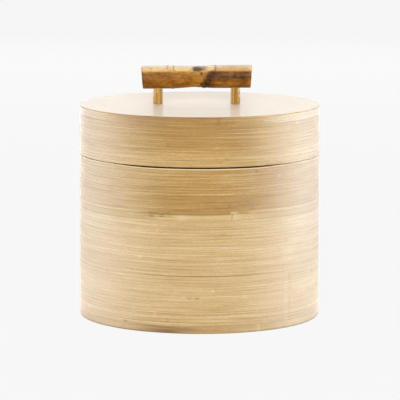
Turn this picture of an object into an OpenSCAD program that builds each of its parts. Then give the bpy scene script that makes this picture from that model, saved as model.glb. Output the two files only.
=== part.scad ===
// Round storage box of wound bamboo strip with a flush lift-off lid.
// The origin is the middle of the underside and +Z is up. Lengths are in millimetres.

/* [Box] */
// Outside diameter of the body and the lid
box_d = 200; // [150:1:260]
// Thickness of the wound wall
wall_t = 6; // [5:0.5:9]
// Thickness of one turn of bamboo strip
strip_t = 2.4; // [1.8:0.1:3.2]
// Depth of the line between two turns
groove_d = 0.2; // [0.1:0.05:0.4]
// Width of the line between two turns
groove_w = 0.5; // [0.3:0.1:0.8]
// Easing of the outer corners where two wound pieces are glued together
joint_ease = 0.3; // [0.2:0.05:0.6]

/* [Body] */
// Height of the body from its underside to its rim
body_h = 136; // [116:0.5:180]
// Thickness of the wound base disc
base_t = 6.4; // [5:0.2:9]
// Rounding of the base disc's lower edge
base_edge_r = 1.6; // [0.6:0.1:3]
// Height of the lower coil of the wall
lower_coil_h = 40.8; // [24:0.2:60]
// Height of the upper coil of the wall
upper_coil_h = 38.4; // [30:0.2:60]
// Height of the pale strip that joins the middle and upper coils
joint_strip_h = 4.8; // [3.2:0.2:8]
// Where the pale strip's ends meet, in degrees to the right of the front
joint_strip_turn = 15.7; // [0:0.1:60]

/* [Lid] */
// Height of the lid
lid_h = 40.6; // [30:0.2:70]
// Thickness of the lid's wound disc
lid_disc_t = 7; // [5:0.5:10]
// Rounding of the lid's upper edge
lid_edge_r = 1.6; // [0.6:0.1:3]

/* [Lid seat] */
// Width of the sloping outer part of both rims, beside the flat seat
rim_slope_w = 2.5; // [1.5:0.1:3.5]
// How far each rim falls away from the seat before its rounded edge
rim_drop = 0.4; // [0.2:0.1:0.8]
// Rounding of the outer edge of both rims
rim_edge_r = 0.6; // [0.3:0.1:0.9]
// Thickness of the collar that locates the lid
collar_t = 3; // [2:0.1:4]
// Depth of the collar glued inside the body's wall
collar_depth = 22; // [14:1:30]
// Height of the collar above the body's rim
collar_rise = 10; // [6:1:14]
// Bevel that leads the lid over the collar
collar_lead = 0.8; // [0.4:0.1:1.5]
// Running clearance between the collar and the lid, on the radius
lid_clearance = 0.6; // [0.4:0.1:1]

/* [Handle] */
// Length of the handle bar along its middle
bar_len = 91; // [82:1:110]
// Diameter of the handle bar
bar_d = 18.8; // [16:0.1:24]
// Slant of the bar's cut ends, in degrees
end_slant = 5; // [0:0.5:10]
// How far the bar and its posts stand to the right of the lid's middle
handle_shift = -2.7; // [-6:0.1:6]
// Rise of the hand-fitted bar towards its right end, in degrees
bar_rise = 1; // [0:0.1:2]
// Clear height for fingers between the lid and the bar
finger_gap = 13.4; // [11:0.1:20]
// Distance of each post's middle from its end of the bar
post_inset = 13.2; // [9:0.1:18]
// Diameter of the posts
post_d = 8; // [6:0.5:10]
// Step from a post to the tenon that passes through the lid
tenon_step = 1; // [0.5:0.1:1.5]
// Depth of a post's seat in the bar
post_seat = 9; // [6:0.5:11]

/* [Bamboo growth on the bar] */
// Narrowing of the bar at its waist, on the radius
waist_depth = 0.9; // [0:0.1:1.5]
// Half width of the waist
waist_w = 15; // [8:1:20]
// Place of the waist along the bar from its middle
waist_x = 4.5; // [-12:0.5:12]
// Height of the ring at the large growth node
node_h = 0.55; // [0.2:0.05:0.9]
// Place of the large growth node along the bar from its middle
node_x = 10.5; // [-4:0.5:16]
// Height of the ring at the small growth node
small_node_h = 0.35; // [0.1:0.05:0.9]
// Place of the small growth node along the bar from its middle
small_node_x = -21.5; // [-26:0.5:-10]
// Half width of a growth node's ring
node_w = 2; // [1.5:0.1:3]

/* [Joints] */
// Glue line round a piece that is glued into a hole or a hoop
glue_gap = 0.1; // [0.05:0.05:0.2]
// Gap at the scarf where the ends of a hoop meet
scarf_gap = 0.4; // [0.2:0.1:0.6]
// Lean of the pale strip's scarf, in degrees from upright
strip_scarf_lean = 30; // [0:1:45]
// Lean of the collar's scarf, in degrees from upright
collar_scarf_lean = 55; // [30:1:60]

/* [Hidden] */
$fn = 96;
// Steps in a rounded edge, and along the bar's outline
edge_steps = 5;
bar_steps = 60;

box_r = box_d / 2;
inner_r = box_r - wall_t;
collar_r = inner_r - glue_gap;
lid_inner_r = collar_r + lid_clearance;

lower_z = base_t;
middle_z = lower_z + lower_coil_h;
rim_z = body_h;
upper_z = rim_z - upper_coil_h;
joint_strip_z = upper_z - joint_strip_h;
lid_top_z = rim_z + lid_h;
lid_disc_z = lid_top_z - lid_disc_t;

bar_z = lid_top_z + finger_gap + bar_d / 2;
tenon_d = post_d - 2 * tenon_step;
post_span = bar_len - 2 * post_inset;
// Half length of the bar before its ends are cut to their slant
bar_reach = bar_len / 2 + bar_d * tan(end_slant) + node_w;

wound_colour = [0.80, 0.67, 0.46];
disc_colour = [0.84, 0.72, 0.52];
strip_colour = [0.88, 0.77, 0.58];
collar_colour = [0.78, 0.66, 0.47];
bar_colour = [0.45, 0.27, 0.11];
post_colour = [0.79, 0.62, 0.32];

function reversed(points) = [for (i = [len(points) - 1 : -1 : 0]) points[i]];

// Points of a round corner about a centre, from one angle to another
function corner(centre, radius, from, to) = [
    for (i = [0 : edge_steps])
        let (a = from + (to - from) * i / edge_steps)
        centre + radius * [cos(a), sin(a)]
];

// Outer corner of a wound piece where it is glued to the one below or above it
function eased_below(z) = [[box_r - joint_ease, z], [box_r, z + joint_ease]];
function eased_above(z) = [[box_r, z - joint_ease], [box_r - joint_ease, z]];

// Outer face of a wound wall from the bottom up, with a fine line between the turns
function turn_lines(low, high) =
    let (turns = round((high - low) / strip_t), pitch = (high - low) / turns)
    [
        for (i = [1 : turns - 1], step = [-1, 0, 1])
            [box_r - groove_d * (1 - abs(step)), low + i * pitch + step * groove_w / 2]
    ];

// Rim from the outer face to the flat seat: a rounded edge and a slope that leaves a shadow line.
// The way is 1 for a rim that faces up and -1 for one that faces down.
function rim(z, way) = concat(
    corner([box_r - rim_edge_r, z - way * (rim_drop + rim_edge_r)], rim_edge_r, 0, way * 90),
    [[box_r - rim_slope_w, z]]
);

// Swelling of the bar round one place along it
function swelling(x, place, height, width) = height * exp(-pow((x - place) / width, 2));

function bar_r(x) = bar_d / 2
    - swelling(x, waist_x, waist_depth, waist_w)
    + swelling(x, node_x, node_h, node_w)
    + swelling(x, small_node_x, small_node_h, node_w);

// One coil of the body's wall between two glue lines
module wall_coil(low, high) {
    outside = concat(eased_below(low), turn_lines(low, high), eased_above(high));
    color(wound_colour)
        rotate_extrude()
            polygon(concat([[inner_r, low]], outside, [[inner_r, high]]));
}

// Thin slanting cut through a hoop's wall, where its two ends meet
module scarf_cut(hoop_r, z, height, lean) {
    translate([0, -hoop_r, z + height / 2])
        rotate([0, lean, 0])
            cube([scarf_gap, 4 * wall_t, 3 * height], center = true);
}

module base_disc() {
    edge = corner([box_r - base_edge_r, base_edge_r], base_edge_r, -90, 0);
    color(disc_colour)
        rotate_extrude()
            polygon(concat([[0, 0]], edge, eased_above(base_t), [[0, base_t]]));
}

module lower_wall_coil() {
    wall_coil(lower_z, middle_z);
}

module middle_wall_coil() {
    wall_coil(middle_z, joint_strip_z);
}

module joint_strip() {
    outside = concat(eased_below(joint_strip_z), eased_above(upper_z));
    color(strip_colour)
        difference() {
            rotate_extrude()
                polygon(concat([[inner_r, joint_strip_z]], outside, [[inner_r, upper_z]]));
            rotate([0, 0, joint_strip_turn])
                scarf_cut(inner_r, joint_strip_z, joint_strip_h, strip_scarf_lean);
        }
}

module upper_wall_coil() {
    outside = concat(eased_below(upper_z), turn_lines(upper_z, rim_z), rim(rim_z, 1));
    color(wound_colour)
        rotate_extrude()
            polygon(concat([[inner_r, upper_z]], outside, [[inner_r, rim_z]]));
}

module lid_collar() {
    low = rim_z - collar_depth;
    high = rim_z + collar_rise;
    outline = [
        [collar_r - collar_t, low],
        [collar_r, low],
        [collar_r, high - collar_lead],
        [collar_r - collar_lead, high],
        [collar_r - collar_t, high]
    ];
    color(collar_colour)
        difference() {
            rotate_extrude() polygon(outline);
            rotate([0, 0, 180]) scarf_cut(collar_r, low, high - low, collar_scarf_lean);
        }
}

module lid_wall_coil() {
    seat = reversed(rim(rim_z, -1));
    outside = concat(seat, turn_lines(rim_z, lid_disc_z), eased_above(lid_disc_z));
    color(wound_colour)
        rotate_extrude()
            polygon(concat([[lid_inner_r, rim_z]], outside, [[lid_inner_r, lid_disc_z]]));
}

module lid_disc() {
    edge = corner([box_r - lid_edge_r, lid_top_z - lid_edge_r], lid_edge_r, 0, 90);
    color(disc_colour)
        difference() {
            rotate_extrude()
                polygon(concat([[0, lid_disc_z]], eased_below(lid_disc_z), edge, [[0, lid_top_z]]));
            for (side = [-1, 1])
                at_post(side, lid_disc_z - lid_disc_t)
                    cylinder(d = tenon_d + 2 * glue_gap, h = 3 * lid_disc_t);
        }
}

// Height of a post above the lid up to the flat bottom of its hole in the rising bar
function post_height(side) = finger_gap + post_seat + side * post_span / 2 * tan(bar_rise);

// Places its children on the axis of the left or right post
module at_post(side, z) {
    translate([handle_shift + side * post_span / 2, 0, z]) children();
}

// Side view of the space between the bar's two slanting end cuts
module end_cuts() {
    lean = bar_d * tan(end_slant);
    top = bar_len / 2 + lean;
    bottom = bar_len / 2 - lean;
    polygon([[-bottom, -bar_d], [bottom, -bar_d], [top, bar_d], [-top, bar_d]]);
}

module handle_bar() {
    stations = [for (i = [0 : bar_steps]) bar_reach * (2 * i / bar_steps - 1)];
    outside = [for (x = stations) [bar_r(x), x]];
    color(bar_colour)
        difference() {
            translate([handle_shift, 0, bar_z])
                rotate([0, -bar_rise, 0])
                    intersection() {
                        rotate([0, 90, 0])
                            rotate_extrude()
                                polygon(concat([[0, -bar_reach]], outside, [[0, bar_reach]]));
                        rotate([90, 0, 0])
                            linear_extrude(height = 2 * bar_d, center = true)
                                end_cuts();
                    }
            for (side = [-1, 1])
                at_post(side, lid_top_z)
                    cylinder(d = post_d + 2 * glue_gap, h = post_height(side));
        }
}

// Dowel with a shoulder on the lid, a tenon through it and a top end glued into the bar
module handle_post(side) {
    post_top_z = lid_top_z + post_height(side);
    outline = [
        [0, lid_disc_z],
        [tenon_d / 2, lid_disc_z],
        [tenon_d / 2, lid_top_z],
        [post_d / 2, lid_top_z],
        [post_d / 2, post_top_z],
        [0, post_top_z]
    ];
    color(post_colour)
        at_post(side, 0) rotate_extrude() polygon(outline);
}

module left_handle_post() {
    handle_post(-1);
}

module right_handle_post() {
    handle_post(1);
}

base_disc();
lower_wall_coil();
middle_wall_coil();
joint_strip();
upper_wall_coil();
lid_collar();
lid_wall_coil();
lid_disc();
handle_bar();
left_handle_post();
right_handle_post();
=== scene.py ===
import math
import random
from collections import namedtuple

import bpy
import numpy as np
from mathutils import Matrix, Vector, noise


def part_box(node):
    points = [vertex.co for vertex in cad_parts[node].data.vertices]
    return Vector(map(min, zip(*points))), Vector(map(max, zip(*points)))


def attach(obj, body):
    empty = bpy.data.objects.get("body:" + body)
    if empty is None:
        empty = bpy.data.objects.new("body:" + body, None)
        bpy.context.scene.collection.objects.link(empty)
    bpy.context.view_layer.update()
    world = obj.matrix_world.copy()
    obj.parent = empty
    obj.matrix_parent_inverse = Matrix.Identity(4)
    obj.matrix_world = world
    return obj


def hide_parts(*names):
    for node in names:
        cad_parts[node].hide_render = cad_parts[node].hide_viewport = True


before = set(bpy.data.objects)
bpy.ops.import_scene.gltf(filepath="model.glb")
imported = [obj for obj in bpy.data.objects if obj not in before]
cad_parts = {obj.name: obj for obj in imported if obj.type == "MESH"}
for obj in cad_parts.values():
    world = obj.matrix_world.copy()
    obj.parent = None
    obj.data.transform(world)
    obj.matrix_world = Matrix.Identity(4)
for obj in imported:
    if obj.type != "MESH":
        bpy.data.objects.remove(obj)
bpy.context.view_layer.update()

# Lengths are in metres, in the part's own frame: +Z up, +X right, the viewer on the -Y side.
# Azimuths are in degrees, from the front and positive to the right.
MM = 0.001
ROUND = 2 * math.pi


def heights(node):
    """Lowest and highest Z of a CAD node."""
    low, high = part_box(node)
    return low.z, high.z


def middle_x(node):
    """X of the middle of a CAD node."""
    low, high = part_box(node)
    return (low.x + high.x) / 2


# Sizes that the frame gives
BOX_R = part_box("lid_disc")[1].x
COLLAR_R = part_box("lid_collar")[1].x
LID_UNDER, LID_TOP = heights("lid_disc")
RIM = heights("upper_wall_coil")[1]
BAR_LOW, BAR_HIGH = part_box("handle_bar")

# Sizes of joints and edges
GLUE_GAP = 0.1 * MM
LID_CLEARANCE = 0.6 * MM
BODY_INNER_R = COLLAR_R + GLUE_GAP
LID_INNER_R = COLLAR_R + LID_CLEARANCE
COLLAR_T = 3 * MM
COLLAR_LEAD = 0.8 * MM
SCARF_GAP = 0.3 * MM
EASE = 0.15 * MM
EDGE_HOLD = 0.2 * MM
DISC_EDGE_R = 1.6 * MM
LID_EDGE_R = 0.9 * MM
RIM_SLOPE_W = 2.5 * MM
RIM_DROP = 1.3 * MM
RIM_EDGE_R = 0.7 * MM

# Winding: width of a turn, how uneven turns are, and the fine lines between them
SEGMENTS = 288
TURN_PITCH = 2.75 * MM
TURN_SPREAD = (0.75, 1.25)
TURN_STEP = 0.02 * MM
LINE_HALF_W = 0.17 * MM
GLINT_W = 0.65 * MM
GLINT_TONE = (0.1, 0.6)
LINE_DEPTH = (0.02 * MM, 0.07 * MM)
LINE_SWAY = 0.16 * MM
STRIP_TURNS = (1.3, 3.6)
STRIP_TONE = 0.10
TURN_TONE = 0.08
TICKS = 3
TICK_TONE = 0.35
TICK_W = 0.013
SPECK_W = 0.8
SPLICE_TONE = (0.2, 0.6)
LINE_GLUE = 0.5
JOINT_GLUE = 0.15
# Paler tone of the body's rounded rim edge: a painted highlight.
RIM_HIGHLIGHT_TONE = 1.6
BARE_SLOPE = 0.8
DISC_EDGE_SLOPE = 0.95
CAP_GRIME = 0.35
CAP_UV_R = 0.001
DISC_PITCH = 2.3 * MM
DISC_HEART_R = 1.2 * MM
DISC_LINE_SHARE = 0.3
DISC_GLUE = 0.2
BASE_SEED, LOWER_SEED, MIDDLE_SEED, UPPER_SEED = 10, 11, 12, 13
LID_SEED, LID_DISC_SEED = 14, 15
STRIP_SEED, COLLAR_SEED = 21, 22

# Roughness of the lacquer
GLOSSY_COAT, COLLAR_COAT, RIM_EDGE_COAT, SATIN_COAT = 0.06, 0.3, 0.4, 0.6

# Colours, as linear light
PALE_WINDING = ((0.44, 0.255, 0.08), (0.65, 0.44, 0.195), (0.84, 0.665, 0.385))
GOLD_WINDING = ((0.31, 0.16, 0.035), (0.51, 0.305, 0.09), (0.74, 0.54, 0.25))
EDGE_WINDING = ((0.31, 0.16, 0.035), (0.51, 0.305, 0.09), (0.80, 0.64, 0.38))
DISC_WINDING = ((0.50, 0.32, 0.13), (0.63, 0.44, 0.20), (0.74, 0.56, 0.30))
STRIP_BAMBOO = ((0.52, 0.34, 0.115), (0.67, 0.48, 0.21), (0.79, 0.62, 0.36))
COLLAR_BAMBOO = ((0.45, 0.29, 0.12), (0.62, 0.43, 0.20), (0.72, 0.55, 0.30))
POST_BAMBOO = ((0.33, 0.165, 0.03), (0.60, 0.34, 0.075), (0.74, 0.50, 0.20))
BARE_BAMBOO = ((0.24, 0.13, 0.045), (0.44, 0.27, 0.11))
# Nearly black brown of the slope inside the rim: painted shade of the seam under the lid.
SEAM_SHADE_BAMBOO = ((0.05, 0.016, 0.002), (0.13, 0.045, 0.006))
GLUE_BROWN = (0.17, 0.082, 0.022)
SMOKED_BAMBOO = (
    (0.035, 0.013, 0.004),
    (0.13, 0.048, 0.007),
    (0.34, 0.135, 0.014),
    (0.54, 0.27, 0.038),
    (0.74, 0.50, 0.17),
)
SCAR_GREY = (0.25, 0.15, 0.115)
SCAR_DARK = (0.05, 0.022, 0.013)
SCAR_CRUST = 14.0
CUT_DARK = (0.30, 0.16, 0.05)
CUT_PALE = (0.62, 0.42, 0.20)

# Handle bar, along X from its middle. Turns go up from the front.
BAR_LEN = 91 * MM
BAR_R = 9.4 * MM
BAR_RISE = math.radians(0.7)
BAR_BELLY = 0.45 * MM
END_SLANT = math.radians(4)
BAR_UNEVEN = 0.07 * MM
BAR_STATIONS = 220
BAR_SIDES = 112
WAIST_X, WAIST_DEPTH, WAIST_W = -2.5 * MM, 0.65 * MM, 11 * MM
WAIST_BELOW = 0.4
NODE_X, NODE_H, NODE_W, NODE_SLANT = 10.3 * MM, 0.35 * MM, 2 * MM, 4.3 * MM
NODE_GROOVE_X, NODE_GROOVE_D, NODE_GROOVE_W = 2.4 * MM, 0.25 * MM, 0.5 * MM
SMALL_NODE_X, SMALL_NODE_H, SMALL_NODE_SLANT = -21.5 * MM, 0.3 * MM, -1.5 * MM
SMALL_GROOVE_X, SMALL_GROOVE_D = 1.5 * MM, 0.12 * MM
KNOBS_BACK, KNOBS_W, KNOB_DEPTH = 7 * MM, 4.5 * MM, 0.16 * MM
SCAR_X, SCAR_W, SCAR_LIFT, SCAR_SPREAD = 2.4 * MM, 6 * MM, 54, 22
# Dark pits, as X, turn in degrees and size
BAR_PITS = (
    (3.9 * MM, 24, 1.0 * MM),
    (4.1 * MM, -38, 1.1 * MM),
    (1.2 * MM, -33, 0.5 * MM),
    (-5.5 * MM, 41, 0.5 * MM),
)
# Cracks across the top, as X, lowest and highest turn in degrees, and width
BAR_CRACKS = (
    (-24.1 * MM, 40, 88, 0.5 * MM),
    (-18.9 * MM, 36, 84, 0.5 * MM),
    (15.3 * MM, 40, 100, 0.5 * MM),
)
CRACK_SHARE = 0.55
SAW_DEPTH, SAW_SCALE = 0.06 * MM, 1500

# Tones of the bar's skin, from 0 for nearly black to 1 for pale
SKIN_TONE, MOTTLE_TONE, GRAIN_TONE = 0.47, 0.15, 0.14
SMUDGE_TONE, SMUDGE_X, SMUDGE_W = 0.15, -33 * MM, 8 * MM
SMUDGE_LIFT, SMUDGE_SPREAD = 19, 14
KNOBS_TONE, KNOBS_TONE_X, KNOBS_TONE_W = 0.14, -8 * MM, 7 * MM
STRIPE_TONE, RIGHT_DARK = 0.20, 0.09
LOWER_TONE, LOWER_LIFT, LOWER_SPREAD = 0.12, -30, 22
NODE_TONE, GROOVE_TONE, PIT_TONE = 0.40, 0.3, 0.6
# Painted highlight along the bar's top: the skin is painted paler above a ragged edge, most a little above
# it.
TOP_HIGHLIGHT_TONE = 0.34
HIGHLIGHT_EDGE_LEFT, HIGHLIGHT_EDGE_WAVE = 6, 8
HIGHLIGHT_GLOW_TONE, HIGHLIGHT_GLOW_LIFT, HIGHLIGHT_GLOW_SPREAD = 0.2, 48, 14
BAND_TONE, BAND_LIFT, BAND_SPREAD = 0.28, -4, 11
# Turn, in degrees, of the painted highlight's lower edge; the node's dark stops there.
HIGHLIGHT_EDGE_LIFT = 36
LEFT_END_TONE, LEFT_END_W = -0.25, 1.3 * MM
RIGHT_END_TONE, RIGHT_END_W = 0.12, 3 * MM

# Handle posts
POSTS = ("left_handle_post", "right_handle_post")
POST_R = 4 * MM
TENON_R = 3 * MM
POST_FLUTE = 0.06 * MM
POST_SIDES = 72
POST_STEPS = 48
TENON_EASE, FOOT_EASE, HEAD_EASE = 0.2 * MM, 0.25 * MM, 0.3 * MM
FLUTES, FLUTE_RISE = 2.6, 25
# The side tone is a painted sheen: each dowel is painted paler along its sides as seen from the front.
POST_TONE, FLUTE_TONE, POST_SIDE_SHEEN_TONE = 0.50, 0.25, 0.55
BEAD_R = 0.7 * MM
BEAD_TONE = 0.7
BEAD_H = 0.15 * MM
FIBRE_TONE = 0.65
HOLE_SIDES = 72
LEFT_POST_SEED, RIGHT_POST_SEED = 3, 5
# Radius at the foot and at the head
LEFT_POST_R = (4.05 * MM, 4.05 * MM)
RIGHT_POST_R = (4.0 * MM, 4.08 * MM)
# Dark fibres, as azimuth and width, and beads of glue, as azimuth and height over the lid
LEFT_FIBRES = ((-14, 7), (40, 11))
LEFT_BEADS = ((-5, 11.9 * MM), (-9, 10.2 * MM))
RIGHT_FIBRES = ((-5, 8), (18, 6), (-42, 5), (50, 6))


class Paint:
    """A material's node graph, written as short calls."""

    def __init__(self, name):
        self.material = bpy.data.materials.new(name)
        self.material.use_nodes = True
        self.tree = self.material.node_tree
        self.tree.nodes.clear()

    def add(self, kind, inputs=(), **settings):
        node = self.tree.nodes.new(kind)
        for name, value in settings.items():
            setattr(node, name, value)
        for key, value in dict(inputs).items():
            if isinstance(value, bpy.types.NodeSocket):
                self.tree.links.new(value, node.inputs[key])
            else:
                node.inputs[key].default_value = value
        return node

    def math(self, operation, *values):
        return self.add("ShaderNodeMath", enumerate(values), operation=operation).outputs[0]

    def attribute(self, name):
        return self.add("ShaderNodeAttribute", attribute_name=name).outputs["Fac"]

    def place(self):
        return self.add("ShaderNodeTexCoord").outputs["Object"]

    def stretched(self, place, scale):
        inputs = {0: place, 1: scale}
        return self.add("ShaderNodeVectorMath", inputs, operation="MULTIPLY").outputs[0]

    def round_place(self):
        """Position with X and Y kept and Z replaced by height plus radius.
        Streaks then run round the box."""
        split = self.add("ShaderNodeSeparateXYZ", {0: self.place()}).outputs
        flat = self.add("ShaderNodeCombineXYZ", {0: split[0], 1: split[1]}).outputs[0]
        radius = self.add("ShaderNodeVectorMath", {0: flat}, operation="LENGTH").outputs["Value"]
        level = self.math("ADD", split[2], radius)
        return self.add("ShaderNodeCombineXYZ", {0: split[0], 1: split[1], 2: level}).outputs[0]

    def noise(self, place, scale, detail=3.0, roughness=0.55):
        inputs = {
            "Vector": self.stretched(place, scale),
            "Scale": 1.0,
            "Detail": detail,
            "Roughness": roughness,
        }
        return self.add("ShaderNodeTexNoise", inputs).outputs["Fac"]

    def weighed(self, start, *terms):
        """A start value plus each term's distance from one half, times its weight."""
        total = start
        for value, weight in terms:
            part = self.math("MULTIPLY_ADD", value, weight, -weight / 2)
            total = self.math("ADD", total, part)
        return total

    def span(self, value, low, high):
        """Carries 0..1 over to low..high."""
        inputs = {"Value": value, "To Min": low, "To Max": high}
        return self.add("ShaderNodeMapRange", inputs).outputs[0]

    def ramp(self, value, colours):
        """Colours at equal steps from 0 to 1."""
        node = self.add("ShaderNodeValToRGB", {0: value})
        stops = node.color_ramp.elements
        while len(stops) < len(colours):
            stops.new(1.0)
        for i, colour in enumerate(colours):
            stops[i].position = i / (len(colours) - 1)
            stops[i].color = (*colour, 1.0)
        return node.outputs["Color"]

    def mix(self, share, first, second):
        node = self.add("ShaderNodeMix", data_type="RGBA")
        for key, value in ((0, share), (6, first), (7, second)):
            if isinstance(value, bpy.types.NodeSocket):
                self.tree.links.new(value, node.inputs[key])
            else:
                node.inputs[key].default_value = (*value, 1.0)
        return node.outputs[2]

    def bump(self, height, distance, strength=1.0):
        inputs = {"Height": height, "Distance": distance, "Strength": strength}
        return self.add("ShaderNodeBump", inputs).outputs[0]

    def surface(self, **inputs):
        """Ends the graph in a Principled shader. Spaces in socket names are written as underscores."""
        named = {key.replace("_", " "): value for key, value in inputs.items()}
        shader = self.add("ShaderNodeBsdfPrincipled", named).outputs[0]
        self.add("ShaderNodeOutputMaterial", {0: shader})
        return self.material


def wound_bamboo(name, palette, coat_roughness, coat=1.0, under_gloss=0.0, haze=0.0):
    """Lacquered bamboo strip, wound: fine streaks round the box, a tone for each turn, and dark glue
    in the lines."""
    paint = Paint(name)
    place = paint.round_place()
    streak = paint.noise(place, (16, 16, 1000), 4.0, 0.6)
    fibre = paint.noise(place, (28, 28, 2000), 4.0, 0.6)
    dash = paint.noise(place, (350, 350, 1800), 2.0)
    cloud = paint.noise(place, (16, 16, 45), 3.0)
    patch = paint.noise(place, (22, 22, 400), 2.0)
    tone = paint.math("MULTIPLY_ADD", paint.attribute("tone"), 0.5, 0.5)
    tone = paint.weighed(tone, (streak, 0.5), (fibre, 1.1), (dash, 0.55), (cloud, 0.4))
    colour = paint.ramp(tone, palette)
    grime = paint.math("MULTIPLY", paint.attribute("grime"), paint.span(patch, -0.9, 2.6))
    grime = paint.add("ShaderNodeClamp", {0: grime}).outputs[0]
    colour = paint.mix(grime, colour, GLUE_BROWN)
    relief = paint.weighed(streak, (fibre, 0.6))
    return paint.surface(
        Base_Color=colour,
        Roughness=paint.span(fibre, 0.48, 0.62),
        Specular_IOR_Level=under_gloss,
        Normal=paint.bump(relief, 0.02 * MM, 0.5),
        Coat_Weight=coat,
        Coat_Roughness=coat_roughness,
        Sheen_Weight=haze,
        Sheen_Roughness=0.3,
    )


def bare_bamboo(name, palette):
    """Ends of wound strips without lacquer: matte."""
    paint = Paint(name)
    place = paint.round_place()
    streak = paint.noise(place, (30, 30, 1500), 3.0)
    return paint.surface(
        Base_Color=paint.ramp(streak, palette),
        Roughness=paint.span(streak, 0.6, 0.8),
        Specular_IOR_Level=0.1,
        Normal=paint.bump(streak, 0.05 * MM, 0.5),
    )


def smoked_bamboo(name):
    """The bar's skin: mottled brown with fine lengthwise fibres, a grey scar, and pale pithy cut ends."""
    paint = Paint(name)
    place = paint.place()
    fibre = paint.noise(place, (120, 1500, 1500), 3.0)
    speckle = paint.noise(place, (900, 1700, 1700), 2.0)
    pores = paint.noise(place, (1800, 1800, 1800), 2.0)
    scar = paint.attribute("scar")
    cut = paint.attribute("cut")
    tone = paint.weighed(paint.attribute("tone"), (fibre, 0.35), (speckle, 0.55))
    colour = paint.ramp(tone, SMOKED_BAMBOO)
    colour = paint.mix(scar, colour, paint.ramp(speckle, (SCAR_DARK, SCAR_GREY)))
    wood = paint.ramp(pores, (CUT_DARK, CUT_PALE))
    colour = paint.mix(cut, colour, wood)
    relief = paint.weighed(fibre, (speckle, 0.8))
    crust = paint.math("MULTIPLY", scar, paint.noise(place, (1100, 1100, 1100), 3.0))
    relief = paint.math("MULTIPLY_ADD", crust, SCAR_CRUST, relief)
    return paint.surface(
        Base_Color=colour,
        Roughness=paint.span(speckle, 0.30, 0.50),
        Specular_IOR_Level=0.0,
        Normal=paint.bump(relief, 0.05 * MM, 0.6),
        Coat_Weight=paint.span(paint.math("MAXIMUM", scar, cut), 1.0, 0.1),
        Coat_Roughness=0.07,
        Coat_IOR=1.38,
    )


def dowel_bamboo(name):
    """Split golden bamboo: strong fibres along the dowel."""
    paint = Paint(name)
    place = paint.place()
    fibre = paint.noise(place, (1500, 1500, 60), 3.0)
    speckle = paint.noise(place, (1900, 1900, 500), 2.0)
    tone = paint.weighed(paint.attribute("tone"), (fibre, 0.6), (speckle, 0.25))
    colour = paint.ramp(tone, POST_BAMBOO)
    return paint.surface(
        Base_Color=colour,
        Roughness=paint.span(fibre, 0.40, 0.60),
        Specular_IOR_Level=0.15,
        Normal=paint.bump(fibre, 0.12 * MM, 0.6),
        Coat_Weight=0.2,
        Coat_Roughness=0.35,
    )


def bulge(angles, place, width, power=2):
    """Values of 1 at an azimuth, in degrees, that fall off over a width to 0."""
    away = (np.degrees(angles) - place + 180) % 360 - 180
    return np.exp(-(np.abs(away / width) ** power))


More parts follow.
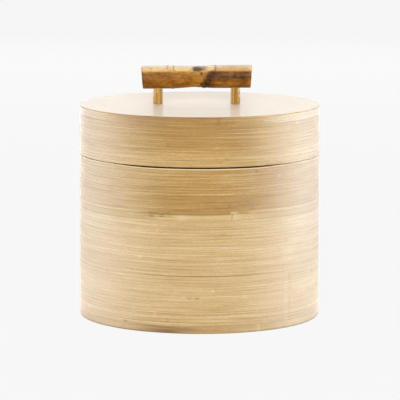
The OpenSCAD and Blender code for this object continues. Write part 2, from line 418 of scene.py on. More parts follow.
class Coil:
    """One wound strip: where the lines between its turns lie, and the tone of each spliced length."""

    def __init__(self, seed, low, high, pitch=TURN_PITCH, marks=(), patches=(), splice=None):
        """Marks are dark specks, as (azimuth, height, strength), and patches broad changes of tone, as
        (azimuth, half width, lowest height, highest height, tone). A splice is the azimuth where the ends
        of all turns meet."""
        rng = random.Random(seed)
        count = max(1, round((high - low) / pitch))
        widths = [rng.uniform(*TURN_SPREAD) for _ in range(count)]
        scale = (high - low) / sum(widths)
        self.lines = [low]
        for width in widths:
            self.lines.append(self.lines[-1] + width * scale)
        self.depths = [rng.uniform(*LINE_DEPTH) for _ in self.lines]
        self.steps = [rng.uniform(0, TURN_STEP) for _ in widths]
        self.turn_tones = [rng.gauss(0, TURN_TONE) for _ in widths]
        self.starts = [rng.uniform(0, ROUND) for _ in widths]
        self.phases = [rng.uniform(0, ROUND) for _ in self.lines]
        self.ticks = []
        for _ in widths:
            self.ticks.append([(rng.uniform(0, ROUND), rng.gauss(0, TICK_TONE)) for _ in range(TICKS)])
        self.splices = [rng.uniform(0, STRIP_TURNS[0])]
        while self.splices[-1] < count + 1:
            self.splices.append(self.splices[-1] + rng.uniform(*STRIP_TURNS))
        self.strip_tones = np.array([rng.gauss(0, STRIP_TONE) for _ in range(len(self.splices) + 1)])
        self.marks = []
        for place, height, strength in marks:
            turn = np.searchsorted(self.lines, height) - 1
            self.marks.append((place, turn, strength))
        self.patches = patches
        self.glints = [(rng.uniform(*GLINT_TONE), rng.uniform(0, ROUND)) for _ in widths]
        if splice is not None:
            for ticks in self.ticks:
                ticks.append((math.radians(splice), rng.uniform(*SPLICE_TONE)))
                ticks.append((math.radians(splice) + 2 * TICK_W, -rng.uniform(*SPLICE_TONE)))

    def tone(self, turn, angles):
        """Tone of a turn at each angle: the spliced length that lies there, and the turn's own."""
        along = turn + (angles - self.starts[turn]) % ROUND / ROUND
        tone = self.strip_tones[np.searchsorted(self.splices, along)] + self.turn_tones[turn]
        for place, strength in self.ticks[turn]:
            away = (angles - place + math.pi) % ROUND - math.pi
            tone = tone + strength * np.exp(-((away / TICK_W) ** 2))
        height = (self.lines[turn] + self.lines[turn + 1]) / 2
        for place, half_width, low, high, strength in self.patches:
            if low < height < high:
                tone = tone + strength * bulge(angles, place, half_width, 6)
        return tone

    def glint(self, turn):
        """Pale fibres and a painted glint along the upper edge of a turn, stronger and weaker round the box.
        """
        strength, phase = self.glints[turn]

        def tone(angles):
            return strength * (0.6 + 0.4 * np.sin(2 * angles + phase) + 0.3 * np.sin(7 * angles + 3 * phase))
        return tone

    def specks(self, turn):
        """Dark of a turn's specks at each angle."""
        def grime(angles):
            total = np.zeros_like(angles)
            for place, marked, strength in self.marks:
                if marked == turn:
                    total += strength * bulge(angles, place, SPECK_W)
            return total
        return grime

    def sway(self, line, angles):
        """How far a line strays to the side at each angle."""
        if line is None:
            return np.zeros_like(angles)
        phase = self.phases[line]
        waves = np.sin(2 * angles + phase) + 0.7 * np.sin(5 * angles + 3 * phase)
        return LINE_SWAY * (waves + 0.4 * np.sin(11 * angles + 7 * phase))


# A ring of a wound piece: where it is, the line that it strays with, and the turn, the dark glue and the
# paler tone, from wear and from painted light, that the band from this ring to the next one shows
Ring = namedtuple("Ring", "radius height line turn grime wear", defaults=(None, 0, 0.0, 0.0))
# Where the two ends of a hoop meet: azimuth of the scarf and its lean from upright, in radians
Scarf = namedtuple("Scarf", "azimuth lean")


def mesh_piece(name, points, faces, uvs, corner_values, material, smooth_angle=40):
    """A mesh object with a bake map and per-corner values, smooth but for its sharp corners."""
    mesh = bpy.data.meshes.new(name)
    mesh.from_pydata(points, [], faces)
    mesh.uv_layers.new(name="OFBake").uv.foreach_set("vector", np.asarray(uvs, np.float32).ravel())
    for key, values in corner_values.items():
        layer = mesh.attributes.new(key, "FLOAT", "CORNER")
        layer.data.foreach_set("value", np.asarray(values, np.float32))
    mesh.materials.append(material)
    mesh.shade_smooth()
    mesh.set_sharp_from_angle(angle=math.radians(smooth_angle))
    piece = bpy.data.objects.new(name, mesh)
    bpy.context.scene.collection.objects.link(piece)
    return piece


def around(value, angles):
    """A ring's value at each angle. It is a number, or a function of the angles."""
    return value(angles) if callable(value) else np.full(len(angles), value)


def spun(name, rings, coil, material, sideways=(0, 1), disc=False, scarf=None):
    """A wound piece: rings joined by bands. Lines stray along the sideways direction, given as
    (radius, height). A disc's first and last rings are closed by flat caps, and a hoop with a scarf is
    cut there."""
    count = len(rings)
    bands = count - 1 if disc else count
    steps = np.arange(SEGMENTS + 1)
    columns = SEGMENTS + 1 if scarf else SEGMENTS
    angles = np.tile(steps * ROUND / SEGMENTS, (count, 1))
    height = np.array([[ring.height] for ring in rings])
    if scarf:
        slip = (height - height.mean()) * math.tan(scarf.lean) / BOX_R
        gap = SCARF_GAP / math.cos(scarf.lean) / BOX_R
        angles = scarf.azimuth + slip + gap / 2 + steps * (ROUND - gap) / SEGMENTS
    sway = np.array([coil.sway(ring.line, angle) for ring, angle in zip(rings, angles)])
    radius = np.array([[ring.radius] for ring in rings]) + sideways[0] * sway
    height = height + sideways[1] * sway
    points = np.stack([radius * np.sin(angles), -radius * np.cos(angles), height], axis=-1)[:, :columns]
    run = [0.0]
    for k in range(bands):
        here, there = rings[k], rings[(k + 1) % count]
        run.append(run[-1] + math.hypot(there.radius - here.radius, there.height - here.height))
    faces, uvs, tones, grimes = [], [], [], []
    for k in range(bands):
        tone = coil.tone(rings[k].turn, angles[k]) + around(rings[k].wear, angles[k])
        grime = around(rings[k].grime, angles[k])
        low, high = run[k] / run[-1], run[k + 1] / run[-1]
        here, there = k * columns, (k + 1) % count * columns
        for j in range(SEGMENTS):
            after = (j + 1) % columns
            faces.append((here + j, here + after, there + after, there + j))
            left, right = j / SEGMENTS, (j + 1) / SEGMENTS
            uvs += [(left, low), (right, low), (right, high), (left, high)]
            tones += [tone[j], tone[j + 1], tone[j + 1], tone[j]]
            grimes += [grime[j], grime[j + 1], grime[j + 1], grime[j]]
    caps = []
    if disc:
        last = (count - 1) * columns
        caps = [range(SEGMENTS - 1, -1, -1), range(last, last + SEGMENTS)]
    if scarf:
        caps = [range(0, count * columns, columns), range(count * columns - 1, 0, -columns)]
    for cap in caps:
        faces.append(tuple(cap))
        spots = [ROUND * i / len(cap) for i in range(len(cap))]
        uvs += [(CAP_UV_R * math.sin(spot), CAP_UV_R * math.cos(spot)) for spot in spots]
        tones += [0.0] * len(cap)
        grimes += [CAP_GRIME] * len(cap)
    values = {"tone": tones, "grime": grimes}
    piece = mesh_piece(name, points.reshape(-1, 3), faces, uvs, values, material)
    crease_lines(piece.data, columns, [ring.line is not None for ring in rings])
    return piece


def crease_lines(mesh, columns, on_line):
    """Keeps the edges of the lines between turns crisp, so that each turn stays flat across its width."""
    ends = np.empty(2 * len(mesh.edges), np.int32)
    mesh.edges.foreach_get("vertices", ends)
    rings = ends.reshape(-1, 2) // columns
    sharp = np.empty(len(mesh.edges), bool)
    mesh.edges.foreach_get("use_edge_sharp", sharp)
    sharp |= (rings[:, 0] == rings[:, 1]) & np.array(on_line)[rings[:, 0]]
    mesh.edges.foreach_set("use_edge_sharp", sharp)


def place_piece(piece, node, body):
    """The piece stands for a CAD node and moves with its body; the node is hidden."""
    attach(piece, body)
    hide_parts(node)
    return piece


def arc(radius, steps=5):
    """A round edge from a flat face to the outer face, as (inset, rise)."""
    turns = [math.radians(90 * i / steps) for i in range(steps + 1)]
    return [(radius * (1 - math.sin(a)), radius * (1 - math.cos(a))) for a in turns]


# Each edge goes on a little way up the outer face, so that the shading of the face stays flat
EASED_EDGE = arc(EASE, 2) + [(0.0, EASE + EDGE_HOLD)]
RIM_EDGE = [(RIM_SLOPE_W, 0.0)] + [(inset, rise + RIM_DROP) for inset, rise in arc(RIM_EDGE_R, 3)]
RIM_EDGE += [(0.0, RIM_DROP + RIM_EDGE_R + EDGE_HOLD)]
DISC_EDGE = [(DISC_EDGE_R + EDGE_HOLD, 0.0)] + arc(DISC_EDGE_R, 6) + [(0.0, DISC_EDGE_R + EDGE_HOLD)]
LID_EDGE = [(DISC_EDGE_R + EDGE_HOLD, 0.0)] + arc(LID_EDGE_R, 6) + [(0.0, LID_EDGE_R + EDGE_HOLD)]


def coil_joint(angles):
    """The glue between the two lower coils shows as a dark line at the front."""
    return 0.1 + 0.3 * bulge(angles, 0, 38, 4) + 0.4 * bulge(angles, 1, 8)


def strip_splits(angles):
    """Splits between the splinters that lie over the upper part of the pale strip."""
    return 1.6 * bulge(angles, -20, 6, 6) * (0.5 + 0.5 * np.sin(angles * 75))


def strip_overline(angles):
    """The glue over the pale strip shows at the front."""
    return JOINT_GLUE + 0.35 * bulge(angles, 0, 40, 4)


def strip_underline(angles):
    return JOINT_GLUE + 0.5 * bulge(angles, -17, 6, 4)


def base_dark_edge(angles):
    """The bottom edge is darker to the left of the front."""
    return 0.08 + 0.5 * bulge(angles, -14, 20)


def base_painted_light(angles):
    """Painted light: the bottom edge is paler to both sides and at the back, most to the right."""
    return (0.6 + 0.25 * np.sin(angles)) * (1 - bulge(angles, 0, 40, 6))


def lid_edge_brown_line(angles):
    """A brown line along the lid's edge, at the front."""
    return 0.6 * bulge(angles, -4, 24, 4)


def lid_edge_painted_light(angles):
    """The lid's edge is darker in front, painted paler to both sides as light, most to the right, and plain
    at the back.
    """
    sides = (0.3 + 0.2 * np.sin(angles)) * bulge(angles, 0, 110, 6)
    return sides - 0.85 * bulge(angles, -6, 38, 4)


def strip_wear(angles):
    """Pale nodes of the single strip."""
    places = (-33.8, -18.5, -8.2, 17.0)
    return sum(0.4 * bulge(angles, place, 2.2) for place in places)


def splinters(angles):
    """Golden splinters of the coil above lie over the strip's upper part."""
    return strip_wear(angles) - 0.8 * bulge(angles, -19, 7.5, 8)


def strip_top(angles):
    """The strip's uppermost part is golden at the front, like the coil above it."""
    return strip_wear(angles) - 1.1 * bulge(angles, -10, 22, 6)


# An edge's shape, and the dark glue and the paler tone, from wear and from painted light, that it shows
Edge = namedtuple("Edge", "shape glue wear", defaults=(0.0, 0.0))
GLUED = Edge(EASED_EDGE, JOINT_GLUE)
DARK_JOINT = Edge(EASED_EDGE, coil_joint)
UNDERLINED = Edge(EASED_EDGE, strip_underline)
NODED = Edge(EASED_EDGE, JOINT_GLUE, strip_wear)
SPLINTERED = Edge(EASED_EDGE, JOINT_GLUE, strip_top)
OVERLINED = Edge(EASED_EDGE, strip_overline)
# The body's rim, its round edge painted paler as a highlight.
HIGHLIGHTED_RIM = Edge(RIM_EDGE, 0.0, RIM_HIGHLIGHT_TONE)
PLAIN = Edge(EASED_EDGE)
# The lid's round edge: a brown line at the front, and painted paler as light to both sides.
ROUNDED = Edge(LID_EDGE, lid_edge_brown_line, lid_edge_painted_light)
# The base's bottom edge: darker to the left of the front, and painted paler elsewhere as light.
BASE_EDGE = Edge(DISC_EDGE, base_dark_edge, base_painted_light)


def edge_below(low, edge, turn):
    """Rings of a lower outer edge, from the underside to the outer face."""
    return [Ring(BOX_R - inset, low + rise, None, turn, edge.glue, edge.wear) for inset, rise in edge.shape]


def edge_above(high, edge, turn):
    """Rings of an upper outer edge, from the outer face to the top."""
    shape = reversed(edge.shape)
    return [Ring(BOX_R - inset, high - rise, None, turn, edge.glue, edge.wear) for inset, rise in shape]


def wall_rings(coil, inner_r, low_edge, high_edge):
    """Rings of a wound wall: up the outside over every line, over the top, down the inside and back."""
    low, high = coil.lines[0], coil.lines[-1]
    last = len(coil.lines) - 2
    rings = edge_below(low, low_edge, 0)
    rings[-1] = rings[-1]._replace(grime=coil.specks(0), wear=0.0)
    for i in range(1, last + 1):
        line, depth = coil.lines[i], coil.depths[i]
        glue = LINE_GLUE * depth / LINE_DEPTH[1]
        below = BOX_R - coil.steps[i - 1]
        rings.append(Ring(below, line - LINE_HALF_W - GLINT_W, i, i - 1, 0.0, coil.glint(i - 1)))
        rings.append(Ring(below, line - LINE_HALF_W, i, i - 1, glue))
        rings.append(Ring(BOX_R - TURN_STEP - depth, line, i, i, glue))
        rings.append(Ring(BOX_R - coil.steps[i], line + LINE_HALF_W, i, i, coil.specks(i)))
    rings += edge_above(high, high_edge, last)
    rings.append(Ring(inner_r, high, None, last))
    for i in range(last, 0, -1):
        line = coil.lines[i]
        rings.append(Ring(inner_r + coil.steps[i], line + LINE_HALF_W, i, i, LINE_GLUE))
        rings.append(Ring(inner_r + TURN_STEP + coil.depths[i], line, i, i - 1, LINE_GLUE))
        rings.append(Ring(inner_r + coil.steps[i - 1], line - LINE_HALF_W, i, i - 1))
    rings.append(Ring(inner_r, low))
    return rings


def seam_opening(angles):
    """How far the seam under the lid stands open: wide at the front, nearly shut to the sides."""
    return 0.12 + 0.15 * bulge(angles, -75, 45, 4) + 0.9 * bulge(angles, 0, 40, 6)


def close_rim(piece):
    """Brings the rim's round edge nearer to the level of the seam wherever the seam isn't wide open."""
    points = np.empty(3 * len(piece.data.vertices))
    piece.data.vertices.foreach_get("co", points)
    points = points.reshape(-1, 3)
    edge = np.hypot(points[:, 0], points[:, 1]) > BOX_R - RIM_EDGE_R - EASE
    edge &= points[:, 2] > RIM - RIM_DROP - RIM_EDGE_R - 2 * EDGE_HOLD
    shut = 1 - seam_opening(np.arctan2(points[:, 0], -points[:, 1]))
    points[:, 2] += np.where(edge, RIM_DROP * shut, 0.0)
    piece.data.vertices.foreach_set("co", points.ravel())
    piece.data.update()


def wall_winding(node, seed, marks=(), patches=(), splice=None):
    """The strip that a wall is wound of, over the height of its CAD node."""
    low, high = heights(node)
    return Coil(seed, low, high, TURN_PITCH, marks, patches, splice)


def wall_coil(node, body, coil, inner_r, low_edge, high_edge, materials):
    """A wound wall of several materials: its skin, its flat ends without lacquer, and for an upper rim its
    round edge, painted paler as a highlight, and the slope inside the edge, painted nearly black as the
    seam's shade."""
    high = heights(node)[1]
    rings = wall_rings(coil, inner_r, low_edge, high_edge)
    piece = spun(node + "_winding", rings, coil, materials[0])
    for material in materials[1:]:
        piece.data.materials.append(material)
    for face in piece.data.polygons:
        inset = BOX_R - face.center.xy.length
        # The rim's round edge takes the painted highlight, and the slope inside it the painted shade of the
        # seam.
        rim = high_edge is HIGHLIGHTED_RIM and face.center.z > high - RIM_DROP - RIM_EDGE_R
        if rim and inset < RIM_EDGE_R:
            face.material_index = 2
        elif rim and inset < RIM_SLOPE_W:
            face.material_index = 3
        elif abs(face.normal.z) > BARE_SLOPE:
            face.material_index = 1
    if high_edge is HIGHLIGHTED_RIM:
        close_rim(piece)
    return place_piece(piece, node, body)


def disc_face(coil, level, outward, way):
    """Rings of a disc's flat face, with a shallow line between turns. Way is 1 for the top and -1 for the
    underside."""
    rings = []
    for i in range(1, len(coil.lines) - 1):
        line = coil.lines[i]
        sink = level - way * DISC_LINE_SHARE * coil.depths[i]
        rings.append(Ring(line - LINE_HALF_W, level, i, i, DISC_GLUE))
        rings.append(Ring(line, sink, i, i, DISC_GLUE))
        rings.append(Ring(line + LINE_HALF_W, level, i, i))
    if outward:
        return rings
    glues = [DISC_GLUE, DISC_GLUE, 0.0] * len(rings)
    inward = zip(rings[::-1], glues)
    return [ring._replace(turn=max(ring.turn - 1, 0), grime=glue) for ring, glue in inward]


def wound_disc(node, body, seed, low_edge, high_edge, material, edge_material):
    """A flat coil: turns lie in the faces as circles, and the outermost strip's broad side is the edge."""
    low, high = heights(node)
    coil = Coil(seed, DISC_HEART_R, BOX_R - DISC_EDGE_R - EDGE_HOLD, DISC_PITCH)
    last = len(coil.lines) - 2
    rings = [Ring(DISC_HEART_R, low)] + disc_face(coil, low, True, -1)
    rings += edge_below(low, low_edge, last)
    rings[-1] = rings[-1]._replace(wear=low_edge.wear or high_edge.wear)
    rings += edge_above(high, high_edge, last)
    rings += disc_face(coil, high, False, 1) + [Ring(DISC_HEART_R, high)]
    piece = spun(node + "_winding", rings, coil, material, sideways=(1, 0), disc=True)
    piece.data.materials.append(edge_material)
    for face in piece.data.polygons:
        if face.center.xy.length > BOX_R - DISC_EDGE_R and abs(face.normal.z) < DISC_EDGE_SLOPE:
            face.material_index = 1
    return place_piece(piece, node, body)


def joint_strip(material):
    """The single pale strip between two coils, with its ends meeting in a scarf."""
    low, high = heights("joint_strip")
    coil = Coil(STRIP_SEED, low, high, high - low, patches=STRIP_PATCHES)
    rings = edge_below(low, NODED, 0)
    rings[-1] = rings[-1]._replace(grime=0.0)
    bands = (
        (0.48, strip_splits, splinters),
        (0.62, 0.0, splinters),
        (0.78, strip_splits, strip_top),
    )
    for share, splits, wear in bands:
        rings.append(Ring(BOX_R, low + share * (high - low), None, 0, splits, wear))
    rings += edge_above(high, SPLINTERED, 0)
    rings += [Ring(BODY_INNER_R, high), Ring(BODY_INNER_R, low)]
    piece = spun("joint_strip_hoop", rings, coil, material, scarf=STRIP_SCARF)
    return place_piece(piece, "joint_strip", "box")


def lid_collar(material):
    """The thin bent hoop inside the rim that keeps the lid in place."""
    low, high = heights("lid_collar")
    coil = Coil(COLLAR_SEED, low, high, high - low)
    rings = [
        Ring(COLLAR_R, low),
        Ring(COLLAR_R, high - COLLAR_LEAD),
        Ring(COLLAR_R - 0.3 * COLLAR_LEAD, high - 0.3 * COLLAR_LEAD),
        Ring(COLLAR_R - COLLAR_LEAD, high),
        Ring(COLLAR_R - COLLAR_T + COLLAR_LEAD / 2, high),
        Ring(COLLAR_R - COLLAR_T, high - COLLAR_LEAD / 2),
        Ring(COLLAR_R - COLLAR_T, low),
    ]
    piece = spun("lid_collar_hoop", rings, coil, material, scarf=COLLAR_SCARF)
    return place_piece(piece, "lid_collar", "box")


def grid_piece(name, rows, values, material, smooth_angle=40):
    """A closed skin over rows of points that go round, anticlockwise as seen from the first row's end."""
    rows = np.asarray(rows)
    count, sides = rows.shape[:2]
    corners = []
    uvs = []
    for i in range(count - 1):
        here, there = i * sides, (i + 1) * sides
        low, high = i / (count - 1), (i + 1) / (count - 1)
        for j in range(sides):
            after = (j + 1) % sides
            corners.append((here + j, there + j, there + after, here + after))
            left, right = j / sides, (j + 1) / sides
            uvs += [(left, low), (left, high), (right, high), (right, low)]
    last = (count - 1) * sides
    corners += [tuple(range(sides)), tuple(range(last + sides - 1, last - 1, -1))]
    uvs += [(0.0, 0.0)] * sides + [(0.0, 1.0)] * sides
    order = [point for face in corners for point in face]
    spread = {key: np.asarray(value).ravel()[order] for key, value in values.items()}
    return mesh_piece(name, rows.reshape(-1, 3), corners, uvs, spread, material, smooth_angle)


def drill(piece, x, low, high, radius):
    """Cuts an upright round hole into a piece."""
    angles = np.arange(HOLE_SIDES) * ROUND / HOLE_SIDES
    ring = np.stack([x - radius * np.sin(angles), -radius * np.cos(angles), np.zeros(HOLE_SIDES)], axis=-1)
    rows = [ring + (0, 0, low), ring + (0, 0, high)]
    bit = grid_piece("drill_bit", rows, {}, piece.data.materials[0])
    cut = piece.modifiers.new("hole", "BOOLEAN")
    cut.operation = "DIFFERENCE"
    cut.solver = "EXACT"
    cut.object = bit
    bpy.context.view_layer.update()
    drilled = bpy.data.meshes.new_from_object(piece.evaluated_get(bpy.context.evaluated_depsgraph_get()))
    piece.modifiers.remove(cut)
    piece.data = drilled
    bpy.data.objects.remove(bit)


def swelling(x, place, height, width):
    return height * math.exp(-(((x - place) / width) ** 2))


def bar_radius(x, turn):
    """Radius of the bar: a belly and a waist that is deeper below, two slanting growth nodes with grooves
    beside them, and an uneven skin."""
    node = NODE_X + NODE_SLANT * math.sin(turn)
    small = SMALL_NODE_X + SMALL_NODE_SLANT * math.sin(turn)
    radius = BAR_R + BAR_BELLY * max(0.0, -math.sin(turn)) ** 2
    radius -= swelling(x, WAIST_X, WAIST_DEPTH, WAIST_W) * (1 - WAIST_BELOW * math.sin(turn))
    radius += swelling(x, node, NODE_H, NODE_W) + swelling(x, small, SMALL_NODE_H, NODE_W)
    radius -= swelling(x, node + NODE_GROOVE_X, NODE_GROOVE_D, NODE_GROOVE_W)
    radius -= swelling(x, node - NODE_GROOVE_X, NODE_GROOVE_D, NODE_GROOVE_W)
    radius -= swelling(x, small + SMALL_GROOVE_X, SMALL_GROOVE_D, NODE_GROOVE_W)
    skin = noise.noise(Vector((x * 60, 1.3 * math.cos(turn), 1.3 * math.sin(turn))))
    knobs = noise.noise(Vector((x * 420, 4 * math.cos(turn), 4 * math.sin(turn))))
    near = math.exp(-(((x - node + KNOBS_BACK) / KNOBS_W) ** 2))
    return radius - BAR_UNEVEN * (1 + skin) - KNOB_DEPTH * near * (1 + knobs)


def hump(value, place, width, power=2):
    """A bump of height 1 over a place, flat-topped for higher powers."""
    return math.exp(-(abs((value - place) / width) ** power))


def bar_look(x, turn):
    """Tone of the bar's skin, from 0 for nearly black to 1 for pale, with a painted highlight along the top,
    and the share of grey scar.
    """
    node = NODE_X + NODE_SLANT * math.sin(turn)
    lift = math.degrees((turn + math.pi) % ROUND - math.pi)
    across = Vector((0.0, math.cos(turn), math.sin(turn)))
    mottle = noise.noise(Vector((x * 90, 0, 7)) + 2.2 * across)
    grain = noise.noise(Vector((x * 300, 0, 2)) + 5 * across)
    stripe = noise.noise(Vector((x * 14 + 3, 0, 0)) + 5 * across)
    past = x - node
    right = 1 / (1 + math.exp(-past / (1.2 * MM)))
    tone = SKIN_TONE + MOTTLE_TONE * mottle + GRAIN_TONE * grain
    tone -= SMUDGE_TONE * hump(x, SMUDGE_X, SMUDGE_W) * hump(lift, SMUDGE_LIFT, SMUDGE_SPREAD)
    tone += KNOBS_TONE * hump(past, KNOBS_TONE_X, KNOBS_TONE_W)
    tone += right * (STRIPE_TONE * stripe - RIGHT_DARK)
    band = right * BAND_TONE * hump(lift, BAND_LIFT, BAND_SPREAD)
    tone -= band / (1 + math.exp(-(past - 6 * MM) / (2 * MM)))
    tone += right * LOWER_TONE * hump(lift, LOWER_LIFT, LOWER_SPREAD)
    ragged = past + (0.7 + 1.2 * grain + 0.8 * mottle) * MM
    dark = hump(ragged, 0, 2.7 * MM, 3) + 0.6 * hump(ragged, 4.5 * MM, 4.5 * MM)
    dark *= max(0.2, 0.85 + 0.9 * grain)
    tone -= NODE_TONE * dark / (1 + math.exp((lift - HIGHLIGHT_EDGE_LIFT) / 4))
    tone -= GROOVE_TONE * hump(past, 2.6 * MM, 0.4 * MM)
    # Painted highlight: paler skin along the top, above a ragged lower edge.
    top = TOP_HIGHLIGHT_TONE + HIGHLIGHT_GLOW_TONE * hump(lift, HIGHLIGHT_GLOW_LIFT, HIGHLIGHT_GLOW_SPREAD)
    highlight_edge = HIGHLIGHT_EDGE_LIFT - HIGHLIGHT_EDGE_LEFT * (1 - right) + HIGHLIGHT_EDGE_WAVE * mottle
    tone += top / (1 + math.exp((highlight_edge - lift) / 5))
    tone += LEFT_END_TONE * hump(x, -BAR_LEN / 2, LEFT_END_W)
    tone += RIGHT_END_TONE * hump(x, BAR_LEN / 2, RIGHT_END_W)
    ragged = 9 * grain + 6 * mottle
    scar = hump(x, SCAR_X, SCAR_W, 4) * hump(lift + ragged, SCAR_LIFT, SCAR_SPREAD, 4)
    for place, low, high, width in BAR_CRACKS:
        scar = max(scar, CRACK_SHARE * hump(x + 0.3 * MM * grain, place, width) * (low < lift < high))
    for place, height, size in BAR_PITS:
        away = math.hypot(x - place, BAR_R * math.radians(lift - height))
        tone -= PIT_TONE * hump(away, 0, size)
    return tone, min(1.0, scar * (1.0 + 0.6 * mottle))


def handle_bar(material):
    """The dark natural stick of the handle, cut off at a slant and dished by the saw at its ends."""
    half = BAR_LEN / 2
    ends = [(1.0, share) for share in (0.2, 0.4, 0.6, 0.8, 0.955)] + [(1.0 - 0.15 * MM / half, 0.985)]
    inset = 1.0 - 0.5 * MM / half
    inner = [inset - 2 * inset * i / BAR_STATIONS for i in range(BAR_STATIONS + 1)]
    stations = [(-along, share) for along, share in ends]
    stations += [(-along, 1.0) for along in inner]
    stations += ends[::-1]
    turns = [ROUND * j / BAR_SIDES for j in range(BAR_SIDES)]
    middle = Vector(((middle_x(POSTS[0]) + middle_x(POSTS[1])) / 2, 0, (BAR_LOW.z + BAR_HIGH.z) / 2))
    tilt = Matrix.Rotation(-BAR_RISE, 4, "Y")
    rows, tones, scars, cuts = [], [], [], []
    for along, share in stations:
        row = []
        for turn in turns:
            radius = bar_radius(along * half, turn) * share
            up = radius * math.sin(turn)
            out = radius * math.cos(turn)
            rough = 0.0
            if share < 0.9:
                rough = SAW_DEPTH * noise.noise(Vector((0, out * SAW_SCALE, up * SAW_SCALE)))
            x = along * (half + up * math.tan(END_SLANT) - abs(rough))
            row.append(tilt @ Vector((x, -out, up)) + middle)
            tone, scar = bar_look(along * half, turn)
            tones.append(tone)
            scars.append(scar)
            cuts.append(1.0 if share < 0.97 else 0.0)
        rows.append(row)
    piece = grid_piece("handle_bar_stick", rows, {"tone": tones, "scar": scars, "cut": cuts}, material)
    for post in POSTS:
        drill(piece, middle_x(post), LID_TOP, heights(post)[1], POST_R + GLUE_GAP)
    return place_piece(piece, "handle_bar", "lid")


def handle_post(node, seed, foot_r, head_r, fibres, beads, material):
    """A dowel split from bamboo: faintly fluted, a shoulder on the lid, a tenon through it.
    Dark fibres run up it, as (azimuth, width), and beads of dried glue sit on it, as (azimuth, height
    over the lid)."""
    x = middle_x(node)
    low, high = heights(node)
    outline = [(TENON_R - TENON_EASE, low), (TENON_R, low + TENON_EASE), (TENON_R, LID_TOP)]
    outline += [(foot_r - FOOT_EASE, LID_TOP), (foot_r, LID_TOP + FOOT_EASE)]
    shaft = high - LID_TOP
    for i in range(1, POST_STEPS):
        outline.append((foot_r + (head_r - foot_r) * i / POST_STEPS, LID_TOP + shaft * i / POST_STEPS))
    outline += [(head_r, high - HEAD_EASE), (head_r - HEAD_EASE, high)]
    turns = [ROUND * j / POST_SIDES for j in range(POST_SIDES)]
    rows, tones = [], []
    for radius, height in outline:
        row = []
        for turn in turns:
            spot = Vector((FLUTES * math.cos(turn), FLUTES * math.sin(turn), height * FLUTE_RISE + seed))
            flute = noise.noise(spot)
            r = radius - POST_FLUTE * (1 + flute)
            # Painted sheen: paler to both sides as seen from the front.
            tone = POST_TONE + FLUTE_TONE * flute + POST_SIDE_SHEEN_TONE * abs(math.sin(turn)) ** 3
            azimuth = math.degrees((math.pi - turn) % ROUND - math.pi)
            for place, width in fibres:
                tone -= FIBRE_TONE * hump(azimuth, place, width)
            for place, lift in beads:
                away = math.hypot(radius * math.radians(azimuth - place), height - LID_TOP - lift)
                tone += BEAD_TONE * hump(away, 0, BEAD_R)
                r += BEAD_H * hump(away, 0, BEAD_R)
            row.append((x - r * math.sin(turn), -r * math.cos(turn), height))
            tones.append(tone)
        rows.append(row)
    piece = grid_piece(node + "_dowel", rows, {"tone": tones}, material)
    return place_piece(piece, node, "lid")


def floor_and_world():
    """A pale floor that shows as the photograph's even background and still keeps the box's shadow."""
    bpy.ops.mesh.primitive_plane_add(size=FLOOR_SIZE)
    floor = bpy.context.object
    floor.name = "floor"
    paint = Paint("floor")
    path = paint.add("ShaderNodeLightPath").outputs
    seen = paint.math("MAXIMUM", path["Is Camera Ray"], path["Is Glossy Ray"])
    seen = paint.math("MAXIMUM", seen, path["Is Transmission Ray"])
    grey = (FLOOR_ALBEDO, FLOOR_ALBEDO, FLOOR_ALBEDO, 1.0)
    lit = paint.add("ShaderNodeBsdfDiffuse", {"Color": grey}).outputs[0]
    veil = (FLOOR_SHADOWED, FLOOR_SHADOWED, FLOOR_SHADOWED, 1.0)
    shaded = paint.add("ShaderNodeBsdfDiffuse", {"Color": veil}).outputs[0]
    glow = paint.add("ShaderNodeEmission", {"Color": (1.0, 1.0, 1.0, 1.0), "Strength": FLOOR_GLOW}).outputs[0]
    shown = paint.add("ShaderNodeAddShader", {0: shaded, 1: glow}).outputs[0]
    mixed = paint.add("ShaderNodeMixShader", {0: seen, 1: lit, 2: shown}).outputs[0]
    paint.add("ShaderNodeOutputMaterial", {0: mixed})
    floor.data.materials.append(paint.material)

    world = bpy.data.worlds.new("studio")
    bpy.context.scene.world = world
    world.use_nodes = True
    tree = world.node_tree
    path = tree.nodes.new("ShaderNodeLightPath").outputs
    seen = tree.nodes.new("ShaderNodeMath")
    seen.operation = "MAXIMUM"
    tree.links.new(path["Is Camera Ray"], seen.inputs[0])
    tree.links.new(path["Is Glossy Ray"], seen.inputs[1])
    level = tree.nodes.new("ShaderNodeMapRange")
    level.inputs["To Min"].default_value = WORLD_LIGHT
    level.inputs["To Max"].default_value = BACKGROUND
    tree.links.new(seen.outputs[0], level.inputs["Value"])
    sky = tree.nodes["Background"]
    sky.inputs["Color"].default_value = (1.0, 1.0, 1.0, 1.0)
    tree.links.new(level.outputs[0], sky.inputs["Strength"])


def softbox(name, place, facing, width, tall, radiance):
    """A rectangular lamp at a place, facing a point."""
    lamp = bpy.data.lights.new(name, "AREA")
    lamp.shape = "RECTANGLE"
    lamp.size, lamp.size_y = width, tall
    lamp.energy = radiance * math.pi * width * tall
    light = bpy.data.objects.new(name, lamp)
    bpy.context.scene.collection.objects.link(light)
    light.location = place
    light.rotation_euler = (Vector(place) - Vector(facing)).to_track_quat("Z", "Y").to_euler()
    light.visible_camera = False
    return light


def gloss_only(light):
    """Keeps a lamp to reflections. Without multiple importance sampling, a ray that leaves a rough coat
    doesn't carry the lamp's light into the colour under the coat."""
    light.visible_diffuse = False
    light.data.cycles.use_multiple_importance_sampling = False


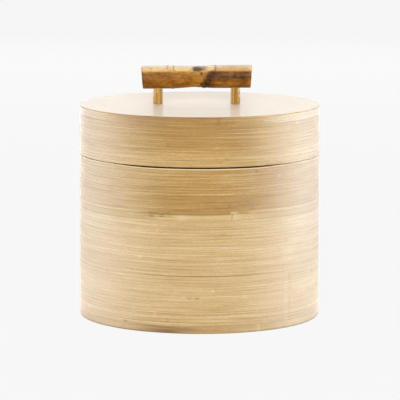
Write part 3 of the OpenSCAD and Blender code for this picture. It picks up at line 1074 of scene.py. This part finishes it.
def lamps():
    """Soft lamps round the box. Most of them light only its colour or only its gloss."""
    overhead = softbox("overhead", (0.0, 0.6, 1.35), (0.0, 0.6, 0.0), 1.2, 2.5, OVERHEAD_LIGHT)
    top = softbox("top", (0.0, -0.45, 1.3), (0.0, 0.0, 0.2), 1.2, 1.2, TOP_LIGHT)
    front = softbox("front", (0.0, -2.4, 0.95), (0.0, 0.0, 0.1), 1.6, 1.0, FRONT_LIGHT)
    softbox("rear", (0.0, 4.0, 1.2), (0.0, 0.0, 1.2), 7.0, 2.4, REAR_LIGHT)
    back = softbox("back", (0.0, 2.4, 0.95), (0.0, 0.0, 0.1), 1.6, 1.0, BACK_LIGHT)
    gloss_only(softbox("right_sheen", (0.6, 0.02, 0.08), (0.0, 0.0, 0.08), 0.72, 0.16, RIGHT_SHEEN))
    gloss_only(softbox("left_sheen", (-0.6, 0.02, 0.08), (0.0, 0.0, 0.08), 0.72, 0.16, LEFT_SHEEN))
    right_rear = softbox("right_rear", (0.42, 0.72, 0.087), (0.0, 0.0, 0.087), 0.5, 0.174, RIGHT_REAR)
    left_rear = softbox("left_rear", (-0.42, 0.72, 0.087), (0.0, 0.0, 0.087), 0.5, 0.174, LEFT_REAR)
    right_low = softbox("right_low", (0.16, 0.0, 0.0005), (0.16, 0.0, 1.0), 0.11, 0.4, RIGHT_LOW)
    left_low = softbox("left_low", (-0.16, 0.0, 0.0005), (-0.16, 0.0, 1.0), 0.11, 0.4, LEFT_LOW)
    for lamp in (overhead, right_rear, left_rear, right_low, left_low):
        lamp.visible_diffuse = False
    for lamp in (top, front, back):
        lamp.visible_glossy = False


def photo_camera():
    """The camera that was fitted to the photograph."""
    lens = bpy.data.cameras.new("photo_camera")
    lens.sensor_width = 36
    lens.lens = CAMERA_LENS
    camera = bpy.data.objects.new("photo_camera", lens)
    bpy.context.scene.collection.objects.link(camera)
    camera.location = CAMERA_PLACE
    turn = (CAMERA_AIM - CAMERA_PLACE).to_track_quat("-Z", "Y").to_matrix().to_4x4()
    roll = Matrix.Rotation(math.radians(CAMERA_ROLL), 4, "Z")
    camera.rotation_euler = (turn @ roll).to_euler()
    bpy.context.scene.camera = camera


STRIP_SCARF = Scarf(math.radians(15.2), math.radians(15))
COLLAR_SCARF = Scarf(math.radians(180), math.radians(55))

# Specks of the wound walls, as azimuth, height and strength
LOWER_MARKS = ((-37, 7.8 * MM, 0.9), (-4.6, 31 * MM, 0.6), (-1.0, 31 * MM, 0.7), (68.5, 42.5 * MM, 0.7))
UPPER_MARKS = (
    (27.3, 130.7 * MM, 0.9),
    (-24.0, 98.5 * MM, 0.5),
    (-22.3, 98.5 * MM, 0.35),
    (-20.4, 98.5 * MM, 0.5),
    (-15.8, 98.5 * MM, 0.4),
    (-14.2, 98.5 * MM, 0.5),
    (13.4, 98.5 * MM, 0.5),
)
LOWER_SPLICE = 45.6

# Broad changes of tone on the walls, as azimuth, half width, lowest and highest height, and tone
LID_PATCHES = (
    (-2, 30, 160 * MM, 170 * MM, -0.3),
    (-2, 30, 151 * MM, 160 * MM, -0.15),
    (0, 70, 136 * MM, 145 * MM, 0.2),
    # Paler to the right: painted light for the brighter right side.
    (60, 32, 136 * MM, 170 * MM, 0.25),
)
UPPER_PATCHES = (
    (1, 26, 98 * MM, 121 * MM, -0.14),
    (-60, 35, 98 * MM, 136 * MM, 0.12),
    (52, 32, 97 * MM, 100 * MM, 0.7),
    (-52, 26, 97 * MM, 100 * MM, 0.5),
    (16, 1.7, 97 * MM, 100 * MM, 1.0),
)
STRIP_PATCHES = ((-52, 30, 92 * MM, 98 * MM, -1.15), (66, 38, 92 * MM, 98 * MM, -1.0))
MIDDLE_PATCHES = ((3, 14, 84 * MM, 93 * MM, -0.2), (47, 5, 56 * MM, 68 * MM, 0.25))

# Stage: light levels are radiance
BACKGROUND = 0.9215
FLOOR_SIZE = 12.0
FLOOR_ALBEDO = 0.65
FLOOR_SHADOWED = 0.04
FLOOR_GLOW = 0.9
WORLD_LIGHT = 0.37
OVERHEAD_LIGHT = 4.0
TOP_LIGHT = 0.85
FRONT_LIGHT = 6.8
REAR_LIGHT = 0.2
BACK_LIGHT = 3.8
RIGHT_SHEEN = 30.0
LEFT_SHEEN = 22.0
RIGHT_REAR = 6.9
LEFT_REAR = 9.2
RIGHT_LOW = 2.8
LEFT_LOW = 2.7
CAMERA_PLACE = Vector((0.0, -2.5, 0.4501))
CAMERA_AIM = Vector((0.00034, 0.0, 0.0956))
CAMERA_LENS = 271.3
CAMERA_ROLL = 0.15

gold = wound_bamboo("golden_winding", GOLD_WINDING, SATIN_COAT)
pale = wound_bamboo("pale_winding", PALE_WINDING, SATIN_COAT)
disc = wound_bamboo("wound_disc", DISC_WINDING, GLOSSY_COAT, coat=0.53, under_gloss=0.4, haze=0.7)
bare = bare_bamboo("bare_ends", BARE_BAMBOO)
# Painted shade of the seam, on the slope inside the rim.
seam_shade = bare_bamboo("seam_shade_rim", SEAM_SHADE_BAMBOO)
disc_edge = wound_bamboo("wound_disc_edge", EDGE_WINDING, SATIN_COAT, haze=0.6)
# The rim's edge takes the pale palette as a painted highlight.
rim_highlight = wound_bamboo("rim_highlight_edge", PALE_WINDING, RIM_EDGE_COAT, haze=1.0)

wound_disc("base_disc", "box", BASE_SEED, BASE_EDGE, GLUED, disc, pale)
lower = wall_winding("lower_wall_coil", LOWER_SEED, LOWER_MARKS, splice=LOWER_SPLICE)
wall_coil("lower_wall_coil", "box", lower, BODY_INNER_R, GLUED, DARK_JOINT, (pale, bare))
middle = wall_winding("middle_wall_coil", MIDDLE_SEED, patches=MIDDLE_PATCHES)
wall_coil("middle_wall_coil", "box", middle, BODY_INNER_R, DARK_JOINT, UNDERLINED, (pale, bare))
joint_strip(wound_bamboo("pale_strip", STRIP_BAMBOO, SATIN_COAT))
upper = wall_winding("upper_wall_coil", UPPER_SEED, UPPER_MARKS, UPPER_PATCHES)
upper_skins = (gold, bare, rim_highlight, seam_shade)
wall_coil("upper_wall_coil", "box", upper, BODY_INNER_R, OVERLINED, HIGHLIGHTED_RIM, upper_skins)
lid_collar(wound_bamboo("collar_bamboo", COLLAR_BAMBOO, COLLAR_COAT))
lid_winding = wall_winding("lid_wall_coil", LID_SEED, patches=LID_PATCHES)
wall_coil("lid_wall_coil", "lid", lid_winding, LID_INNER_R, PLAIN, PLAIN, (gold, bare))
lid = wound_disc("lid_disc", "lid", LID_DISC_SEED, PLAIN, ROUNDED, disc, disc_edge)
for post in POSTS:
    drill(lid, middle_x(post), LID_UNDER - MM, LID_TOP + MM, TENON_R + GLUE_GAP)
handle_bar(smoked_bamboo("smoked_bamboo"))
dowel = dowel_bamboo("dowel_bamboo")
handle_post(POSTS[0], LEFT_POST_SEED, *LEFT_POST_R, LEFT_FIBRES, LEFT_BEADS, dowel)
handle_post(POSTS[1], RIGHT_POST_SEED, *RIGHT_POST_R, RIGHT_FIBRES, (), dowel)

floor_and_world()
lamps()
photo_camera()
bpy.context.scene.view_settings.view_transform = "Standard"
